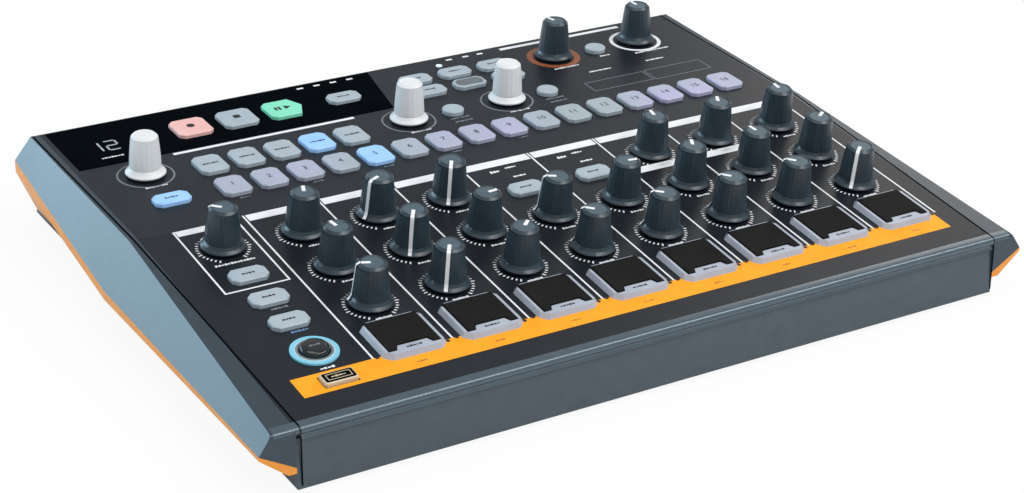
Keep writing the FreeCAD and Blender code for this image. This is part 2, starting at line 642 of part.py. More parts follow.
def make_cheeks(nodes):
    for side, name in ((-1, "left"), (1, "right")):
        stations = [
            cheek_station(side, cheek_front_y, EDGE_OUT_FRONT, panel_z(-NOSE_OUT),
                          RIDGE_OUT_FRONT, FOOT_H + RIDGE_H_FRONT, BAND_FRONT),
            cheek_station(side, lambda z: BEND_Y, EDGE_OUT_BEND, BEND_Z,
                          RIDGE_OUT_BEND, FOOT_H + RIDGE_H_BEND, BAND_BEND),
            cheek_station(side, lambda z: TOP_REAR_Y, EDGE_OUT_REAR, REAR_TOP_Z,
                          RIDGE_OUT_REAR, FOOT_H + RIDGE_H_REAR, BAND_REAR)]
        cheek = Part.makeLoft([s[0] for s in stations], True, True)
        nose = [e for e in cheek.Edges if abs(e.BoundBox.ZMin - panel_z(-NOSE_OUT)) < 1e-3
                and e.BoundBox.YLength < 1e-3 and e.BoundBox.ZLength < 1e-3]
        cheek = cheek.makeFillet(NOSE_R, nose)
        trim = Part.makeLoft([s[1] for s in stations], True, True)
        add(nodes, "%s_cheek" % name, cheek)
        add(nodes, "cheek_trims", trim)


def make_feet(nodes):
    for across in (FOOT_INSET_X, BODY_W - FOOT_INSET_X):
        for y in (FOOT_INSET_Y, BASE_REAR_Y - FOOT_INSET_Y):
            foot = Part.makeCone(FOOT_R - 0.8, FOOT_R, FOOT_H - SEAT_GAP, FreeCAD.Vector(across, y, 0))
            add(nodes, "rubber_feet", foot)


def main():
    os.makedirs("parts", exist_ok=True)
    nodes, cuts = {}, []
    make_controls(nodes, cuts)
    make_display(nodes, cuts)
    make_top_panel(nodes, cuts)
    main_y = make_boards(nodes)
    make_sockets(nodes, make_base(nodes, main_y))
    make_cheeks(nodes)
    make_feet(nodes)
    for name, shapes in nodes.items():
        whole = Part.makeCompound(shapes)
        whole.translate(SHIFT)
        whole.exportStep("parts/%s.step" % name)


main()
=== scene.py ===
import math

import bmesh
import bpy
from mathutils import Matrix, Vector


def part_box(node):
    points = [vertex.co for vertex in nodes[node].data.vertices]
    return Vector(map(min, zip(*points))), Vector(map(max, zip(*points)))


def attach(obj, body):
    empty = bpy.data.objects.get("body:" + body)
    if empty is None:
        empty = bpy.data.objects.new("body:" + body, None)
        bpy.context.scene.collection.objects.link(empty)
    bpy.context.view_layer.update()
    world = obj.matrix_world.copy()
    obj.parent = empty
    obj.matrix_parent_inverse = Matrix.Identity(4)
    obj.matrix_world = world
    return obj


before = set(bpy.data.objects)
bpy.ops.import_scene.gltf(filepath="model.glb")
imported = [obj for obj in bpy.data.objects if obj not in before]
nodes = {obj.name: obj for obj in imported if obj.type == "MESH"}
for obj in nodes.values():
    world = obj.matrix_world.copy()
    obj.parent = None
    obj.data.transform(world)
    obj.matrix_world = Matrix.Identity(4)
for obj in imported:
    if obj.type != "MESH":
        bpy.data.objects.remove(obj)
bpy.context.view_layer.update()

# Millimetres and degrees: x from the top panel's left edge, s and t up its front and rear planes
MM = 0.001
BODY_W = 288.6
FRONT_TOP_Z = 23.9
NOSE_OUT, NOSE_R, FACE_LEAN = 0.9, 1.7, 1.8
FOOT_H, REAR_LEAN, SOCKET_UP = 2.0, 9.0, 17.0
FRONT_SLOPE, REAR_SLOPE = 5.5, 1.5
FRONT_LEN, REAR_LEN = 124.6, 97.6
CHANNELS, CHANNEL_X0, PITCH = range(1, 9), 40.4, 30.0
ROWS = {"front": 54.2, "middle": 80.1, "back": 106.0}
SIDE_X, SEQUENCE_S, ACCENT_S, BANK_S = 24.8, 107.5, 35.7, 18.2
BANK_HOLE_W, BANK_HOLE_L = 12.6, 6.6
STRIP_X0, STRIP_X1, STRIP_S0, STRIP_S1 = 10.0, 279.0, 13.0, 24.0
PAD_LABEL_S, PAD_LABEL_H = 23.3, 1.95
STEPS, STEP_X0, STEP_PITCH = 16, 47.2, 14.88
ENCODERS = {"tempo_encoder": 22.7, "swing_encoder": 134.2, "pattern_encoder": 179.3}
ENCODER_T = 47.0
DRIVE, VOLUME = (220.5, 77.4), (262.0, 77.4)
SHIFT_KEY, DARK_MENU_KEY = (22.7, 22.9), (173.6, 67.5)
KNOB_H, KNOB_DISH, CAP_R = 16.8, 0.3, 3.75
SLEEVE_LOW, SLEEVE_HIGH = 4.2, 15.4
PRINT_H, WORD_THICK = 0.05, 0.03
KEY_TOP, KEY_WORD_H = 1.6, 1.66
# Sockets on the rear wall as shares of its width, the last four with the widths of their words
JACK_SHARES, MINI_SHARES = (0.139, 0.216, 0.292, 0.369, 0.445), (0.5115, 0.5567)
PORT_SHARES = ((0.6298, 9), (0.7098, 9), (0.7864, 7), (0.856, 6))

panel_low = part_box("top_panel")[0]
ORIGIN = Vector((panel_low[0], panel_low[1] + NOSE_OUT * MM, FRONT_TOP_Z * MM))


class Plane:
    """A stretch of the panel: its corner, its direction away from the player, and its normal."""

    def __init__(self, corner, degrees):
        a = math.radians(degrees)
        self.corner = corner
        self.along = Vector((0, math.cos(a), math.sin(a)))
        self.up = Vector((0, -math.sin(a), math.cos(a)))

    def at(self, x, s, h=0.0):
        return self.corner + Vector((x, 0, 0)) * MM + self.along * (s * MM) + self.up * (h * MM)

    def matrix(self, x, s, h=0.0, turn=0.0):
        m = Matrix.Identity(4)
        for row, values in enumerate(zip((1, 0, 0), self.along, self.up, self.at(x, s, h))):
            for column, value in enumerate(values):
                m[row][column] = value
        return m @ Matrix.Rotation(math.radians(turn), 4, "Z")


FRONT = Plane(ORIGIN, FRONT_SLOPE)
REAR = Plane(FRONT.at(0, FRONT_LEN), REAR_SLOPE)
FACE_TILT = math.degrees(math.atan2(FACE_LEAN - NOSE_OUT, FRONT_TOP_Z - FOOT_H))
FACE = Plane(ORIGIN + Vector((0, -FACE_LEAN, FOOT_H - FRONT_TOP_Z)) * MM, 90 - FACE_TILT)
REAR_TOP = REAR.at(0, REAR_LEN)
WALL_TILT = math.degrees(math.atan2(REAR_LEAN, REAR_TOP.z / MM - FOOT_H))
WALL = Plane(REAR_TOP, WALL_TILT - 90)
SOCKET_S = (REAR_TOP.z / MM - FOOT_H - SOCKET_UP) / math.cos(math.radians(WALL_TILT))


# Materials
BROAD_PER_FINE, BROAD_DETAIL, FINE_DETAIL = 14, 3.0, 4.0
COAT_ROUGH, ROUGH_VARY, BUMP_DEPTH = 0.12, 0.06, 0.0002
FLECK_FROM, FLECK_FULL = 0.60, 0.72


def colour(hexa):
    out = []
    for i in (0, 2, 4):
        v = int(hexa[i:i + 2], 16) / 255
        out.append(v / 12.92 if v <= 0.04045 else ((v + 0.055) / 1.055) ** 2.4)
    return tuple(out) + (1.0,)


def material(name, base, other, rough, grain, bump, metallic=0.0, coat=0.0, blend=0.5, specular=0.5,
             glow=None, glow_strength=0.0, fleck=None, fleck_amount=0.0):
    """A finish with a fine grain: two close colours, a varying roughness and a bump."""
    mat = bpy.data.materials.new(name)
    mat.use_nodes = True
    tree = mat.node_tree
    nd, link = tree.nodes, tree.links
    nd.clear()
    out = nd.new("ShaderNodeOutputMaterial")
    bsdf = nd.new("ShaderNodeBsdfPrincipled")
    link.new(bsdf.outputs["BSDF"], out.inputs["Surface"])
    bsdf.inputs["Metallic"].default_value = metallic
    bsdf.inputs["Coat Weight"].default_value = coat
    bsdf.inputs["Coat Roughness"].default_value = COAT_ROUGH
    bsdf.inputs["Specular IOR Level"].default_value = specular
    coords = nd.new("ShaderNodeTexCoord")
    broad = nd.new("ShaderNodeTexNoise")
    broad.inputs["Scale"].default_value = grain / BROAD_PER_FINE
    broad.inputs["Detail"].default_value = BROAD_DETAIL
    fine = nd.new("ShaderNodeTexNoise")
    fine.inputs["Scale"].default_value = grain
    fine.inputs["Detail"].default_value = FINE_DETAIL
    for noise in (broad, fine):
        link.new(coords.outputs["Object"], noise.inputs["Vector"])
    mix = nd.new("ShaderNodeMix")
    mix.data_type = "RGBA"
    mix.inputs["A"].default_value = colour(base)
    mix.inputs["B"].default_value = colour(other)
    spread = nd.new("ShaderNodeMapRange")
    spread.inputs["From Min"].default_value = 0.5 - blend / 2
    spread.inputs["From Max"].default_value = 0.5 + blend / 2
    link.new(broad.outputs["Fac"], spread.inputs["Value"])
    link.new(spread.outputs["Result"], mix.inputs["Factor"])
    last = mix.outputs["Result"]
    if fleck:
        spots = nd.new("ShaderNodeMapRange")
        spots.inputs["From Min"].default_value = FLECK_FROM
        spots.inputs["From Max"].default_value = FLECK_FULL
        spots.inputs["To Max"].default_value = fleck_amount
        link.new(fine.outputs["Fac"], spots.inputs["Value"])
        second = nd.new("ShaderNodeMix")
        second.data_type = "RGBA"
        second.inputs["B"].default_value = colour(fleck)
        link.new(spots.outputs["Result"], second.inputs["Factor"])
        link.new(last, second.inputs["A"])
        last = second.outputs["Result"]
    link.new(last, bsdf.inputs["Base Color"])
    roughness = nd.new("ShaderNodeMapRange")
    roughness.inputs["To Min"].default_value = max(0.0, rough - ROUGH_VARY)
    roughness.inputs["To Max"].default_value = min(1.0, rough + ROUGH_VARY)
    link.new(fine.outputs["Fac"], roughness.inputs["Value"])
    link.new(roughness.outputs["Result"], bsdf.inputs["Roughness"])
    height = nd.new("ShaderNodeBump")
    height.inputs["Strength"].default_value = bump
    height.inputs["Distance"].default_value = BUMP_DEPTH
    link.new(fine.outputs["Fac"], height.inputs["Height"])
    link.new(height.outputs["Normal"], bsdf.inputs["Normal"])
    if glow:
        bsdf.inputs["Emission Color"].default_value = colour(glow)
        bsdf.inputs["Emission Strength"].default_value = glow_strength
    return mat


M = {
    "panel": material("panel_slate", "161b20", "1b2026", rough=0.36, grain=2600, bump=0.06, fleck="2a3037",
                      fleck_amount=0.3, specular=0.26),
    "gloss": material("panel_gloss", "080c0f", "0b0f13", rough=0.3, grain=900, bump=0.01, specular=0.0),
    "case": material("case_grey", "3b474e", "424f56", rough=0.36, grain=2400, bump=0.07),
    "cheek": material("cheek_slate", "2b3841", "323f49", rough=0.32, grain=2200, bump=0.05, coat=0.1,
                      specular=0.4),
    "trim": material("trim_orange", "e08a26", "ec9832", rough=0.34, grain=1500, bump=0.05),
    "strip": material("strip_orange", "fb9f12", "ffa81c", rough=0.55, specular=0.3, grain=2500, bump=0.04),
    "rubber": material("foot_rubber", "141414", "1b1b1b", rough=0.8, grain=2500, bump=0.3),
    "steel": material("screw_steel", "8c8d90", "77787b", rough=0.32, metallic=1.0, grain=1500, bump=0.06),
    "nickel": material("socket_nickel", "b9babc", "a2a3a6", rough=0.25, metallic=1.0, grain=1200,
                       bump=0.05),
    "board": material("board_green", "12492c", "0e3b23", rough=0.4, grain=1200, bump=0.1),
    "pot": material("pot_metal", "9b9ca0", "8a8b8f", rough=0.35, metallic=1.0, grain=1400, bump=0.06),
    "frame": material("frame_grey", "a4abb8", "b0b8c4", rough=0.38, grain=1600, bump=0.04),
    "socket": material("socket_black", "101113", "16171a", rough=0.4, grain=1800, bump=0.08),
    "window": material("display_window", "0a0b0d", "0d0e11", rough=0.12, grain=800, bump=0.01, coat=0.4),
    "ring": material("ring_lit", "6fb4cc", "7fc0d6", rough=0.3, grain=1200, bump=0.03, glow="74bcd6",
                     glow_strength=0.18),
    "pink": material("key_pink", "edb6b0", "f2c0ba", rough=0.42, grain=1800, bump=0.05),
    "mint": material("key_mint", "7fe0bd", "8ce8c8", rough=0.42, grain=1800, bump=0.05),
    "key": material("key_grey", "a3b0b8", "adbac2", rough=0.42, grain=1800, bump=0.05),
    "lit": material("key_lit", "8fbdf0", "9cc8f6", rough=0.4, grain=1500, bump=0.03, glow="8cbcf4",
                    glow_strength=0.16),
    "beige": material("key_beige", "c9b99a", "d2c4a8", rough=0.4, grain=1600, bump=0.04),
    "knob": material("knob_black", "26343c", "2e3d46", rough=0.33, grain=2200, bump=0.06),
    "knob_top": material("knob_top", "43555f", "4c606a", rough=0.46, grain=2200, bump=0.06),
    "white_knob": material("knob_white", "e2e4e4", "e8eaea", rough=0.38, grain=1800, bump=0.05),
    "pad": material("pad_rubber", "0f0e0d", "151312", rough=0.75, specular=0.2, grain=2600, bump=0.2),
    "white": material("print_white", "e6e8ea", "f0f1f2", rough=0.5, grain=2600, bump=0.03),
    "grey": material("print_grey", "6f777d", "7c848a", rough=0.5, grain=2600, bump=0.03),
    "dark": material("print_dark", "15181b", "1b1f23", rough=0.5, grain=2600, bump=0.03),
    "blue_print": material("print_blue", "5a7fa8", "668cb4", rough=0.5, grain=2600, bump=0.03),
    "rust": material("print_rust", "b0662a", "bd7130", rough=0.5, grain=2600, bump=0.03),
    "digit": material("display_digit", "a4adb8", "b0b9c4", rough=0.4, grain=1500, bump=0.02),
    # Front roll skin: lighter and half-metallic over the dark panel edge, partly a painted highlight on
    # the roll
    "nose": material("nose_grey_painted_highlight", "46555f", "4d5d67", rough=0.36, grain=2400, bump=0.01, metallic=0.4,
                     coat=0.5),
    "step": material("key_step", "a3b0b6", "b3b2d0", rough=0.42, grain=300, bump=0.03, blend=0.3),
    "smoke": material("key_smoke", "5f666c", "6c747a", rough=0.3, grain=1500, bump=0.03),
    # Pale inner ring: painted glow of the lit accent ring, with no light of its own
    "mint_glow": material("ring_inner_painted_glow", "b4d8e2", "c0e0e8", rough=0.35, grain=1200, bump=0.02),
    "tick": material("print_tick", "99a3a9", "a6b0b6", rough=0.5, grain=2600, bump=0.03),
    "copper": material("print_copper", "8a4a26", "97532c", rough=0.5, grain=2600, bump=0.03),
    "led": material("led_lit", "b9dcff", "cfe8ff", rough=0.3, grain=900, bump=0.02, glow="bfe0ff",
                    glow_strength=1.2),
}

SLOTS = {"base_tray": "case", "top_panel": "panel", "left_cheek": "cheek", "right_cheek": "cheek",
         "cheek_trims": "trim", "rubber_feet": "rubber", "case_screws": "steel", "main_board": "board",
         "control_board": "board", "pot_bodies": "pot", "pad_frames": "frame", "rear_sockets": "socket",
         "display_module": "window", "accent_ring": "ring", "record_key": "pink", "play_key": "mint",
         "accent_key": "knob", "bank_key": "beige", "power_key": "socket", "step_keys": "step"}
for name, node in nodes.items():
    if name in SLOTS:
        chosen = SLOTS[name]
    elif name.startswith("pad_"):
        chosen = "pad"
    elif name.endswith("_knob"):
        chosen = "knob"
    elif name.endswith("_encoder"):
        chosen = "white_knob"
    else:
        chosen = "key"
    for one in node.material_slots:
        one.material = M[chosen]


def finished_mesh(bm, name, *finishes):
    mesh = bpy.data.meshes.new(name)
    bm.to_mesh(mesh)
    bm.free()
    for finish in finishes:
        mesh.materials.append(M[finish])
    return mesh


def add_piece(name, mesh, body):
    """Puts a mesh in the scene as one piece that rides on a body."""
    obj = bpy.data.objects.new(name, mesh)
    bpy.context.collection.objects.link(obj)
    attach(obj, body)


def join_rows(bm, rows, smooth=True):
    """Faces between each closed row of corners and the next."""
    for a, b in zip(rows, rows[1:]):
        for i in range(len(a)):
            j = (i + 1) % len(a)
            bm.faces.new((a[i], a[j], b[j], b[i])).smooth = smooth


# Flat marks on the panel
class Marks:
    """Many thin printed shapes of one colour on one plane, joined into one piece."""

    def __init__(self, name, plane, finish, body="case", height=PRINT_H, thick=0.04):
        self.name, self.plane, self.finish, self.body = name, plane, finish, body
        self.height, self.thick = height, thick
        self.shapes = []

    def poly(self, points):
        self.shapes.append(points)

    def bar(self, x0, x1, s0, s1):
        self.poly([(x0, s0), (x1, s0), (x1, s1), (x0, s1)])

    def dash(self, x, s, width, tall=1.1, seed=0):
        """A row of little blocks where the real panel has a word."""
        count = max(2, int(width / 1.15))
        step = width / count
        for i in range(count):
            short = ((i * 7 + seed * 3) % 5) * 0.08
            left = x - width / 2 + i * step
            gap = 0.22 if (i + seed) % 4 else 0.34
            self.bar(left, left + step - gap, s - tall / 2 + short * 0.6, s + tall / 2 - short)

    def line(self, x0, s0, x1, s1, width):
        dx, ds = x1 - x0, s1 - s0
        length = math.hypot(dx, ds)
        nx, ns = -ds / length * width / 2, dx / length * width / 2
        self.poly([(x0 + nx, s0 + ns), (x0 - nx, s0 - ns), (x1 - nx, s1 - ns), (x1 + nx, s1 + ns)])

    def ring(self, x, s, inner, outer, steps=72):
        for i in range(steps):
            a = math.radians(360.0 * i / steps)
            b = math.radians(360.0 * (i + 1) / steps)
            self.poly([(x + inner * math.sin(a), s + inner * math.cos(a)),
                       (x + inner * math.sin(b), s + inner * math.cos(b)),
                       (x + outer * math.sin(b), s + outer * math.cos(b)),
                       (x + outer * math.sin(a), s + outer * math.cos(a))])

    def disc(self, x, s, radius, steps=24):
        angles = [math.tau * i / steps for i in range(steps)]
        self.poly([(x + radius * math.cos(a), s + radius * math.sin(a)) for a in angles])

    def outline(self, x0, x1, s0, s1, width):
        self.bar(x0, x1, s0, s0 + width)
        self.bar(x0, x1, s1 - width, s1)
        self.bar(x0, x0 + width, s0 + width, s1 - width)
        self.bar(x1 - width, x1, s0 + width, s1 - width)

    def make(self):
        bm = bmesh.new()
        for points in self.shapes:
            area = sum(a[0] * b[1] - b[0] * a[1] for a, b in zip(points, points[1:] + points[:1]))
            ordered = points if area > 0 else points[::-1]
            top = [bm.verts.new(self.plane.at(x, s, self.height)) for x, s in ordered]
            low = [bm.verts.new(self.plane.at(x, s, self.height - self.thick)) for x, s in ordered]
            bm.faces.new(top)
            for i in range(len(top)):
                j = (i + 1) % len(top)
                bm.faces.new((top[i], low[i], low[j], top[j]))
        add_piece(self.name, finished_mesh(bm, self.name, self.finish), self.body)


def column(channel):
    """The x of one channel's knobs."""
    return CHANNEL_X0 + (channel - 1) * PITCH + PITCH / 2 - 0.2


def step_x(i):
    return STEP_X0 + STEP_PITCH * i


def knob_places():
    """The name, plane, place and turn in degrees of every knob with a pointer."""
    places = [("sequence_knob", FRONT, SIDE_X, SEQUENCE_S, -52)]
    rest = {1: (20, -10, -70), 2: (-115, -147, -147), 3: (-148, 85, 48), 4: (None, -63, -50),
            5: (None, 97, -52), 6: (10, 25, -45), 7: (28, -8, -45), 8: (5, 54, -130)}
    for channel, turns in rest.items():
        for row, turn in zip(("back", "middle", "front"), turns):
            if turn is not None:
                name = "channel_%d_%s_knob" % (channel, row)
                places.append((name, FRONT, column(channel), ROWS[row], turn))
    places.append(("drive_knob", REAR, *DRIVE, -15))
    places.append(("volume_knob", REAR, *VOLUME, -3))
    return places


def front_prints():
    white = Marks("front_print_white", FRONT, "white")
    grey = Marks("front_print_grey", FRONT, "grey")
    ticks = Marks("front_print_ticks", FRONT, "tick")
    # channel lines and header bars
    for i in range(len(CHANNELS) + 1):
        x = CHANNEL_X0 + i * PITCH
        white.bar(x - 0.35, x + 0.35, 24.0, 125.0)
    for channel in CHANNELS:
        x = CHANNEL_X0 + (channel - 1) * PITCH
        white.bar(x + 0.9, x + PITCH - 0.9, 120.6, 124.9)
        if channel in (6, 7):
            white.bar(x + 0.9, x + PITCH - 0.9, 94.2, 98.4)
        if channel in (4, 5):
            white.dash(x + 11, 117, 4, 1.6)
            white.dash(x + 18.5, 118, 5, 1.1, 1)
            white.dash(x + 18.5, 111, 5.5, 1.1, 2)
    white.outline(12.6, 37.4, 79.1, 124.0, 0.7)
    white.bar(13.6, 36.4, 120.4, 123.4)
    white.dash(SIDE_X, 97, 15.5, 1.2)
    grey.dash(26.0, 64.4, 6.5, 1.2, 1)
    blue = Marks("front_print_blue", FRONT, "blue_print")
    blue.dash(26.0, 49.0, 6.5, 1.2, 2)
    white.dash(24.6, 25.6, 5.5, 1.1, 3)
    for name, plane, x, s, turn in knob_places():
        if plane is FRONT:
            for k in range(31):
                a = math.radians(-150 + 10 * k)
                big = k % 5 == 0
                inner, outer = 8.7, 10.2 if big else 9.8
                marks = white if k < 10 or k > 22 else ticks
                marks.line(x + inner * math.sin(a), s + inner * math.cos(a),
                           x + outer * math.sin(a), s + outer * math.cos(a), 0.55)
            if name.startswith("channel"):
                white.dash(x + 0.6, s - 9.6, 6.0, 1.1, int(x + s) % 5)
    for channel in CHANNELS:
        x = column(channel)
        white.dash(x, 44.6, 6.0, 1.1, channel)
    for marks in (white, grey, blue, ticks):
        marks.make()
    strip = Marks("orange_strip", FRONT, "strip", height=0.04, thick=0.03)
    # four bars that leave a hole for the bank key
    left, right = SIDE_X - BANK_HOLE_W / 2, SIDE_X + BANK_HOLE_W / 2
    near, far = BANK_S - BANK_HOLE_L / 2, BANK_S + BANK_HOLE_L / 2
    strip.bar(STRIP_X0, left, STRIP_S0, STRIP_S1)
    strip.bar(right, STRIP_X1, STRIP_S0, STRIP_S1)
    strip.bar(left, right, STRIP_S0, near)
    strip.bar(left, right, far, STRIP_S1)
    strip.make()
    rust = Marks("strip_marks", FRONT, "rust", height=0.07, thick=0.02)
    dark = Marks("strip_dots", FRONT, "dark", height=0.07, thick=0.02)
    for channel in CHANNELS:
        x = column(channel)
        rust.dash(x - 0.5, 16.4, 4.0, 0.9, channel)
        dark.disc(x + 13.0, 23.2, 0.75)
        dark.bar(x - 14.0, x - 12.6, 23.2, 24.4)
    rust.make()
    dark.make()
    labels = Marks("pad_words", FRONT, "dark", height=PAD_LABEL_H, thick=WORD_THICK)
    for channel in CHANNELS:
        labels.dash(column(channel) + 0.2, PAD_LABEL_S, 6.0, 1.0, channel)
    labels.make()
    for name, plane, points in (("seam_left_front", FRONT, (1.6, 0.6, -1.5, FRONT_LEN)),
                                ("seam_left_rear", REAR, (-1.5, 0.0, -2.6, REAR_LEN)),
                                ("seam_right_front", FRONT, (BODY_W, 0.6, 289.9, FRONT_LEN)),
                                ("seam_right_rear", REAR, (289.9, 0.0, 289.0, REAR_LEN))):
        seam = Marks(name, plane, "gloss", height=0.04, thick=0.03)
        seam.line(*points, 0.75)
        seam.make()


def rear_prints():
    gloss = Marks("gloss_zone", REAR, "gloss", height=0.03, thick=0.02)
    gloss.poly([(2.0, 60.5), (134.8, 60.5), (142.0, 97.0), (2.0, 97.0)])
    gloss.make()
    white = Marks("rear_print_white", REAR, "white")
    grey = Marks("rear_print_grey", REAR, "grey")
    white.bar(39.0, 116.0, 58.2, 59.9)
    white.bar(204.0, 264.0, 93.2, 95.2)
    for x in ENCODERS.values():
        grey.ring(x, ENCODER_T, 10.2, 10.9)
        white.dash(x, 36.4, 9.0, 1.1, int(x) % 4)
    white.ring(*VOLUME, 9.6, 11.2)
    for x, t, w in ((220.0, 65.8, 12), (241.5, 69.5, 5), (263, 65.8, 17), (231, 57, 11), (258.5, 57, 9)):
        white.dash(x, t, w, 1.2, int(w))
    for x in (154.1, 198.5):
        grey.dash(x, 40.8, 8.5, 1.1, 1)
        grey.dash(x, 37.6, 8.0, 1.1, 2)
    for x in (109.5, 117.0, 124.5, 132.0, 179.0, 187.0, 194.0):
        white.bar(x - 1.4, x + 1.4, 93.4, 94.6)
    white.dash(18.0, 67.2, 9.0, 1.1, 3)
    grey.outline(217.0, 246.0, 39.0, 48.0, 0.35)
    grey.outline(247.0, 275.0, 38.6, 48.6, 0.35)
    for i in (0, 4, 8, 12, 2, 6):
        grey.dash(step_x(i) + 1.0, 14.0, 4.5, 0.9, i)
    white.make()
    grey.make()
    copper = Marks("drive_ring", REAR, "copper")
    copper.ring(*DRIVE, 8.8, 11.4)
    copper.make()
    led = Marks("beat_light", REAR, "led", height=0.25, thick=0.2)
    led.disc(172.0, 90.0, 1.3)
    led.make()


def seven_segment(marks, x, t, digit, tall=8.0, wide=4.6, stroke=0.75):
    lit = {1: "bc", 2: "abged"}[digit]
    w, h, gap = wide / 2, tall / 2, 0.06
    lines = {"a": (-w, h, w, h), "b": (w, h, w, 0), "c": (w, 0, w, -h), "d": (-w, -h, w, -h),
             "e": (-w, 0, -w, -h), "g": (-w, 0, w, 0)}
    for name in lit:
        x0, t0, x1, t1 = lines[name]
        dx, dt = (x1 - x0) * gap, (t1 - t0) * gap
        marks.line(x + x0 + dx, t + t0 + dt, x + x1 - dx, t + t1 - dt, stroke)


def display():
    digits = Marks("display_digits", REAR, "digit", height=0.06, thick=0.03)
    seven_segment(digits, 14.5, 77.0, 1)
    seven_segment(digits, 21.5, 77.0, 2)
    digits.make()


# Knob trim: ribs round the body, a lighter cap and the white pointer
def ribbed_sleeve(bm, r_low, r_high, ribs, depth, corners=6):
    """A sleeve of ribs round a knob, shallower at its two ends."""
    count = ribs * corners
    rings = []
    for k in range(4):
        share = k / 3
        h = SLEEVE_LOW + (SLEEVE_HIGH - SLEEVE_LOW) * share
        base = r_low + (r_high - r_low) * share
        fade = 0.35 if k in (0, 3) else 1.0
        row = []
        for i in range(count):
            a = math.tau * i / count
            lift = depth * fade * (0.5 + 0.5 * math.cos(a * ribs)) ** 0.6
            r = base + 0.02 + lift
            row.append(bm.verts.new((r * math.cos(a) * MM, r * math.sin(a) * MM, h * MM)))
        rings.append(row)
    join_rows(bm, rings)


def strip_over(bm, path, width, index):
    """A flat strip in the plane x = 0 that follows (r, h, lift) points, pointing along +Y."""
    left, right = [], []
    for i, (r, h, lift) in enumerate(path):
        before, after = path[max(i - 1, 0)], path[min(i + 1, len(path) - 1)]
        dr, dh = after[0] - before[0], after[1] - before[1]
        length = math.hypot(dr, dh)
        nr, nh = -dh / length, dr / length
        if nh < 0 and abs(nh) > 0.5:
            nr, nh = -nr, -nh
        if nr < 0 and abs(nr) > 0.5:
            nr, nh = -nr, -nh
        y, z = r + nr * lift, h + nh * lift
        left.append(bm.verts.new((-width / 2 * MM, y * MM, z * MM)))
        right.append(bm.verts.new((width / 2 * MM, y * MM, z * MM)))
    for i in range(len(path) - 1):
        bm.faces.new((left[i], left[i + 1], right[i + 1], right[i])).material_index = index


def knob_trim_mesh():
    bm = bmesh.new()
    ribbed_sleeve(bm, 6.38, 5.28, 22, 0.16)
    cap = KNOB_H - KNOB_DISH
    angles = [math.tau * i / 48 for i in range(48)]
    ring = [bm.verts.new((CAP_R * math.cos(a) * MM, CAP_R * math.sin(a) * MM, (cap + 0.06) * MM))
            for a in angles]
    bm.faces.new(ring).material_index = 1
    path = [(0.6, cap + 0.1, 0.02), (3.7, cap + 0.1, 0.02), (4.2, KNOB_H - 0.06, 0.04),
            (5.25, KNOB_H - 0.92, 0.2), (5.42, 15.0, 0.22), (6.48, 4.2, 0.22), (7.1, 2.72, 0.22),
            (7.9, 1.85, 0.22)]
    strip_over(bm, path, 1.35, 2)
    bmesh.ops.recalc_face_normals(bm, faces=bm.faces)
    return finished_mesh(bm, "knob_trim", "knob", "knob_top", "white")


def encoder_trim_mesh():
    bm = bmesh.new()
    ribbed_sleeve(bm, 5.92, 5.08, 18, 0.18)
    bmesh.ops.recalc_face_normals(bm, faces=bm.faces)
    return finished_mesh(bm, "encoder_trim", "white_knob")


def place_trim(shared, name, place):
    mesh = shared.copy()
    mesh.transform(place)
    add_piece(name + "_trim", mesh, name)


def knob_trims():
    shared = knob_trim_mesh()
    for name, plane, x, s, turn in knob_places():
        place_trim(shared, name, plane.matrix(x, s, turn=-turn))
    shared = encoder_trim_mesh()
    for name, x in ENCODERS.items():
        place_trim(shared, name, REAR.matrix(x, ENCODER_T))


def outline_points(width, length, corner):
    """The eight points of a rectangle with cut corners, about its middle."""
    w, l, c = width / 2, length / 2, corner
    return [(-w + c, -l), (w - c, -l), (w, -l + c), (w, l - c),
            (w - c, l), (-w + c, l), (-w, l - c), (-w, -l + c)]


def lit_cover(name, plane, x, s, width, length, corner, height, body, finish="lit", low=0.05):
    """A thin skin over one key of a row, or over its upper face where it starts higher."""
    bm = bmesh.new()
    rows = []
    for grow, h in ((0.03, low), (0.03, max(low, height - 0.32) + 0.01), (-0.30, height + 0.02)):
        points = outline_points(width + 2 * grow, length + 2 * grow, corner)
        rows.append([bm.verts.new(plane.at(x + px, s + py, h)) for px, py in points])
    join_rows(bm, rows, smooth=False)
    bm.faces.new(rows[-1])
    add_piece(name, finished_mesh(bm, name, finish), body)


def number(name, text, plane, x, s, h, size, finish, body):
    curve = bpy.data.curves.new(name, "FONT")
    curve.body = text
    curve.size = size * MM
    curve.align_x, curve.align_y = "CENTER", "CENTER"
    curve.extrude = 0.00001
    curve.resolution_u = 2
    obj = bpy.data.objects.new(name + "_curve", curve)
    bpy.context.collection.objects.link(obj)
    bpy.context.view_layer.update()
    mesh = bpy.data.meshes.new_from_object(obj.evaluated_get(bpy.context.evaluated_depsgraph_get()))
    bpy.data.objects.remove(obj)
    mesh.name = name
    mesh.materials.clear()
    mesh.materials.append(M[finish])
    piece = bpy.data.objects.new(name, mesh)
    piece.matrix_world = plane.matrix(x, s, h)
    bpy.context.collection.objects.link(piece)
    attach(piece, body)


def key_words(name, plane, body):
    return Marks(name, plane, "dark", body=body, height=KEY_WORD_H, thick=WORD_THICK)


